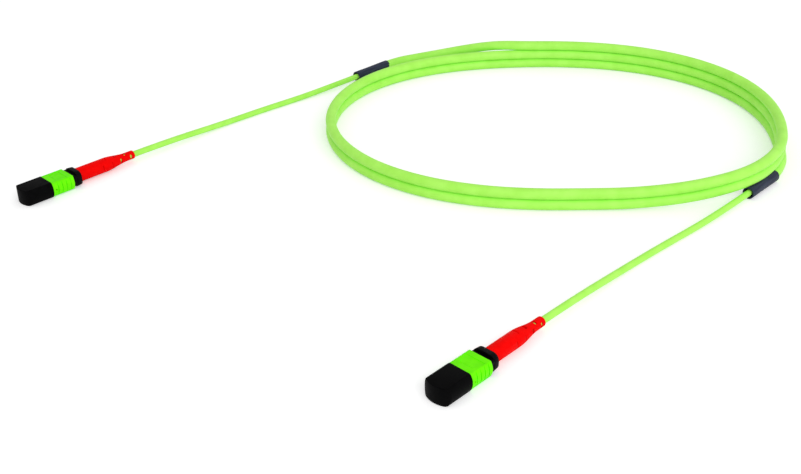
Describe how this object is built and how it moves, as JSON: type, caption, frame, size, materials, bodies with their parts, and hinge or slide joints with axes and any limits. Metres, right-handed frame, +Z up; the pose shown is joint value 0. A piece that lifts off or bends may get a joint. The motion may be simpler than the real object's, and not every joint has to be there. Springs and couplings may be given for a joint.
{
  "type": "mpo fibre connector",
  "caption": "Multi-fibre push-on plug with dust cap, sliding coupling sleeve, sprung ferrule and slotted boot, on a lime trunk cord coiled flat, with a like plug at its far end.",
  "frame": {"origin": "on the floor, under the middle of the near plug from its dust cap to the end of its boot", "axes": "+X along the near plug from its dust cap to its boot, +Y towards the far plug, +Z up, the key's side"},
  "size_m": [0.3406, 0.2474, 0.0158],
  "materials": {
    "cap_black": "satin moulded",
    "sleeve_lime": "satin moulded",
    "housing_black": "fine moulded",
    "ferrule_grey": "glass-filled, polished face",
    "spacer_plastic": "fine moulded",
    "spring_steel": "drawn wire",
    "ferrule_boot_rubber": "soft matt",
    "ribbon_aqua": "coated fibre",
    "crimp_nickel": "nickel plated",
    "boot_red": "satin elastomer",
    "heat_shrink_slate": "shrunk tube, satin",
    "cable_lime": "extruded jacket, satin"
  },
  "bodies": {
    "cord_and_housings": {"near_coupling_springs": "spring_steel", "near_inner_housing": "housing_black", "near_fibre_ribbon": "ribbon_aqua", "near_ferrule_spring": "spring_steel", "near_spring_push": "housing_black", "near_crimp_ring": "crimp_nickel", "near_boot": "boot_red", "near_heat_sleeve": "heat_shrink_slate", "far_coupling_springs": "spring_steel", "far_inner_housing": "housing_black", "far_fibre_ribbon": "ribbon_aqua", "far_ferrule_spring": "spring_steel", "far_spring_push": "housing_black", "far_crimp_ring": "crimp_nickel", "far_boot": "boot_red", "far_heat_sleeve": "heat_shrink_slate", "near_leg": "cable_lime", "far_leg": "cable_lime", "trunk_coil": "cable_lime", "trunk_tail": "cable_lime"},
    "near_cap": {"near_dust_cap": "cap_black"},
    "near_coupling": {"near_coupling_sleeve": "sleeve_lime"},
    "near_ferrule_set": {"near_ferrule": "ferrule_grey", "near_ferrule_spacer": "spacer_plastic", "near_ferrule_boot": "ferrule_boot_rubber"},
    "far_cap": {"far_dust_cap": "cap_black"},
    "far_coupling": {"far_coupling_sleeve": "sleeve_lime"},
    "far_ferrule_set": {"far_ferrule": "ferrule_grey", "far_ferrule_spacer": "spacer_plastic", "far_ferrule_boot": "ferrule_boot_rubber"}
  },
  "joints": [
    {"name": "near_cap_pull", "type": "slide", "parent": "cord_and_housings", "child": "near_cap", "axis": [-1, 0, 0], "range_m": [0, 0.022]},
    {"name": "near_sleeve_slide", "type": "slide", "parent": "cord_and_housings", "child": "near_coupling", "axis": [1, 0, 0], "range_m": [0, 0.002], "stiffness_N_per_m": 400, "springref_m": -0.003, "deforming": ["near_coupling_springs"]},
    {"name": "near_ferrule_float", "type": "slide", "parent": "cord_and_housings", "child": "near_ferrule_set", "axis": [1, 0, 0], "range_m": [0, 0.001], "stiffness_N_per_m": 1000, "springref_m": -0.008, "deforming": ["near_ferrule_spring"]},
    {"name": "far_cap_pull", "type": "slide", "parent": "cord_and_housings", "child": "far_cap", "axis": [-1, 0, 0], "range_m": [0, 0.022]},
    {"name": "far_sleeve_slide", "type": "slide", "parent": "cord_and_housings", "child": "far_coupling", "axis": [1, 0, 0], "range_m": [0, 0.002], "stiffness_N_per_m": 400, "springref_m": -0.003, "deforming": ["far_coupling_springs"]},
    {"name": "far_ferrule_float", "type": "slide", "parent": "cord_and_housings", "child": "far_ferrule_set", "axis": [1, 0, 0], "range_m": [0, 0.001], "stiffness_N_per_m": 1000, "springref_m": -0.008, "deforming": ["far_ferrule_spring"]}
  ]
}
